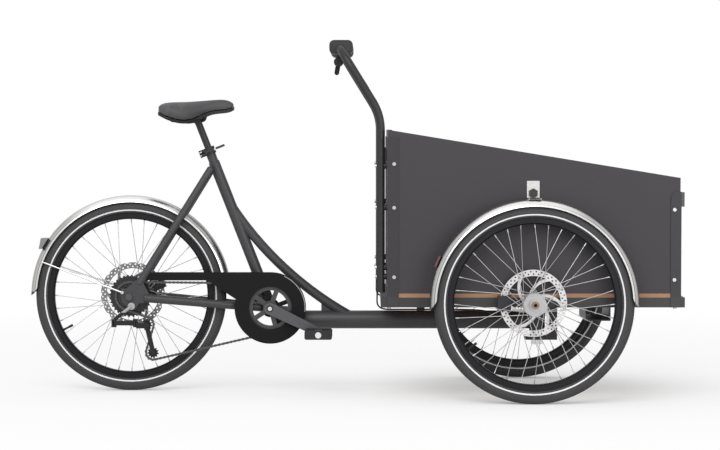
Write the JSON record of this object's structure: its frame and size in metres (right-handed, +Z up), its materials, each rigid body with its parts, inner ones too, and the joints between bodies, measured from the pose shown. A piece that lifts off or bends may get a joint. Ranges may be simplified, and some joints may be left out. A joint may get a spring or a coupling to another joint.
{
  "type": "cargo tricycle",
  "caption": "Front-loading cargo tricycle: an open box between two front wheels steers with its push bar about a kingpin, ahead of a chain-driven rear wheel.",
  "frame": {"origin": "middle of the footprint, on the ground", "axes": "+X forward to the box, +Y to the rider's left, +Z up"},
  "size_m": [2.022, 0.859, 1.0975],
  "materials": {
    "frame_paint": "satin anthracite paint",
    "board": "matt dark faced board",
    "tyre": "matt rubber",
    "black_aluminium": "black anodised",
    "bright_steel": "bright steel",
    "dark_steel": "dark steel",
    "stainless": "polished stainless sheet",
    "silver_aluminium": "silver aluminium",
    "black_plastic": "matt black plastic",
    "lamp_plastic": "grey moulded lamp",
    "cover": "dark grey cover over foam",
    "grip_rubber": "soft matt rubber",
    "reflector": "red and clear reflectors",
    "cable": "black cable housing"
  },
  "bodies": {
    "frame": {"frame": "frame_paint", "frame_bearings": "dark_steel", "seat_clamp": "black_aluminium", "chain_guard": "black_plastic", "chain": "dark_steel", "rear_axle": "dark_steel", "rear_mudguard": "stainless", "rear_lamp": "lamp_plastic", "rear_caliper": "black_aluminium", "derailleur_body": "dark_steel"},
    "seat": {"seat_post": "black_aluminium", "saddle_base": "black_plastic", "saddle_cover": "cover"},
    "seat_clamp_lever": {"seat_clamp_lever": "silver_aluminium"},
    "rear_wheel": {"rear_tyre": "tyre", "rear_rim": "black_aluminium", "rear_spokes": "bright_steel", "rear_hub": "black_aluminium", "rear_rotor": "dark_steel"},
    "cassette": {"cassette": "dark_steel"},
    "crank": {"crank_spindle": "bright_steel", "chainring": "dark_steel", "crank_arms": "black_aluminium"},
    "right_pedal": {"right_pedal": "black_plastic"},
    "left_pedal": {"left_pedal": "black_plastic"},
    "derailleur_outer_link": {"derailleur_outer_link": "dark_steel"},
    "derailleur_inner_link": {"derailleur_inner_link": "dark_steel"},
    "derailleur_knuckle": {"derailleur_knuckle": "dark_steel"},
    "derailleur_cage": {"derailleur_cage": "dark_steel"},
    "guide_pulley": {"guide_pulley": "black_plastic"},
    "tension_pulley": {"tension_pulley": "black_plastic"},
    "carrier": {"carrier_frame": "frame_paint", "front_hanger": "frame_paint", "kingpin": "bright_steel", "floor_panel": "board", "left_side_panel": "board", "right_side_panel": "board", "front_panel": "board", "rear_panel": "board", "carrier_bolts": "bright_steel", "front_mudguards": "stainless", "reflectors": "reflector", "front_calipers": "black_aluminium", "handlebar": "frame_paint", "grips": "grip_rubber", "lever_mounts": "black_aluminium", "brake_cables": "cable"},
    "left_front_wheel": {"left_front_tyre": "tyre", "left_front_rim": "black_aluminium", "left_front_spokes": "bright_steel", "left_front_hub": "black_aluminium", "left_front_rotor": "bright_steel"},
    "right_front_wheel": {"right_front_tyre": "tyre", "right_front_rim": "black_aluminium", "right_front_spokes": "bright_steel", "right_front_hub": "black_aluminium", "right_front_rotor": "bright_steel"},
    "left_brake_lever": {"left_brake_lever": "black_aluminium"},
    "right_brake_lever": {"right_brake_lever": "black_aluminium"},
    "shift_lever": {"shift_lever": "black_plastic"}
  },
  "joints": [
    {"name": "steering", "type": "hinge", "parent": "frame", "child": "carrier", "pos_m": [0.587, 0, 0.224], "axis": [0, 0, 1], "range_deg": [-35, 35]},
    {"name": "rear_wheel_turn", "type": "hinge", "parent": "frame", "child": "rear_wheel", "pos_m": [-0.695, 0, 0.3005], "axis": [0, 1, 0], "continuous": true},
    {"name": "left_front_wheel_turn", "type": "hinge", "parent": "carrier", "child": "left_front_wheel", "pos_m": [0.551, 0.38, 0.3005], "axis": [0, 1, 0], "continuous": true},
    {"name": "right_front_wheel_turn", "type": "hinge", "parent": "carrier", "child": "right_front_wheel", "pos_m": [0.551, -0.38, 0.3005], "axis": [0, 1, 0], "continuous": true},
    {"name": "crank_turn", "type": "hinge", "parent": "frame", "child": "crank", "pos_m": [-0.254, 0, 0.264], "axis": [0, 1, 0], "continuous": true},
    {"name": "cassette_turn", "type": "hinge", "parent": "frame", "child": "cassette", "pos_m": [-0.695, -0.047, 0.3005], "axis": [0, 1, 0], "continuous": true},
    {"name": "right_pedal_turn", "type": "hinge", "parent": "crank", "child": "right_pedal", "pos_m": [-0.10121, -0.137, 0.18948], "axis": [0, 1, 0], "continuous": true},
    {"name": "left_pedal_turn", "type": "hinge", "parent": "crank", "child": "left_pedal", "pos_m": [-0.40679, 0.137, 0.33852], "axis": [0, 1, 0], "continuous": true},
    {"name": "derailleur_shift", "type": "hinge", "parent": "frame", "child": "derailleur_outer_link", "pos_m": [-0.74, -0.076, 0.218], "axis": [0, 0, 1], "range_deg": [-12, 12], "deforming": ["chain"]},
    {"name": "derailleur_inner_link_swing", "type": "hinge", "parent": "frame", "child": "derailleur_inner_link", "pos_m": [-0.74, -0.062, 0.218], "axis": [0, 0, 1], "range_deg": [-12, 12]},
    {"name": "derailleur_knuckle_swing", "type": "hinge", "parent": "derailleur_outer_link", "child": "derailleur_knuckle", "pos_m": [-0.678, -0.076, 0.218], "axis": [0, 0, 1], "range_deg": [-12, 12]},
    {"name": "derailleur_cage_swing", "type": "hinge", "parent": "derailleur_knuckle", "child": "derailleur_cage", "pos_m": [-0.643, -0.047, 0.211], "axis": [0, 1, 0], "range_deg": [-25, 25], "stiffness_Nm_per_rad": 2, "deforming": ["chain"]},
    {"name": "guide_pulley_turn", "type": "hinge", "parent": "derailleur_knuckle", "child": "guide_pulley", "pos_m": [-0.643, -0.047, 0.211], "axis": [0, 1, 0], "continuous": true},
    {"name": "tension_pulley_turn", "type": "hinge", "parent": "derailleur_cage", "child": "tension_pulley", "pos_m": [-0.623, -0.047, 0.123], "axis": [0, 1, 0], "continuous": true},
    {"name": "seat_slide", "type": "slide", "parent": "frame", "child": "seat", "axis": [-0.3649, 0, 0.9311], "range_m": [-0.05, 0.1]},
    {"name": "seat_clamp_lever_swing", "type": "hinge", "parent": "frame", "child": "seat_clamp_lever", "pos_m": [-0.47104, -0.0155, 0.74658], "axis": [0.3649, 0, -0.9311], "range_deg": [0, 120]},
    {"name": "right_brake_lever_pull", "type": "hinge", "parent": "carrier", "child": "right_brake_lever", "pos_m": [-0.00169, -0.073, 1.02357], "axis": [-0.829, 0, -0.5592], "range_deg": [0, 12], "stiffness_Nm_per_rad": 2},
    {"name": "left_brake_lever_pull", "type": "hinge", "parent": "carrier", "child": "left_brake_lever", "pos_m": [-0.00169, 0.073, 1.02357], "axis": [0.829, 0, 0.5592], "range_deg": [0, 12], "stiffness_Nm_per_rad": 2},
    {"name": "shift_lever_turn", "type": "hinge", "parent": "carrier", "child": "shift_lever", "pos_m": [-0.03925, -0.036, 1.03455], "axis": [0, 1, 0], "range_deg": [-30, 30]}
  ],
  "couplings": [
    {"joint": "cassette_turn", "follows": "crank_turn", "ratio": 1.7273},
    {"joint": "guide_pulley_turn", "follows": "crank_turn", "ratio": -3.4545},
    {"joint": "tension_pulley_turn", "follows": "crank_turn", "ratio": 3.4545},
    {"joint": "derailleur_inner_link_swing", "follows": "derailleur_shift", "ratio": 1},
    {"joint": "derailleur_knuckle_swing", "follows": "derailleur_shift", "ratio": -1},
    {"joint": "shift_lever_turn", "follows": "derailleur_shift", "ratio": 2.5}
  ]
}
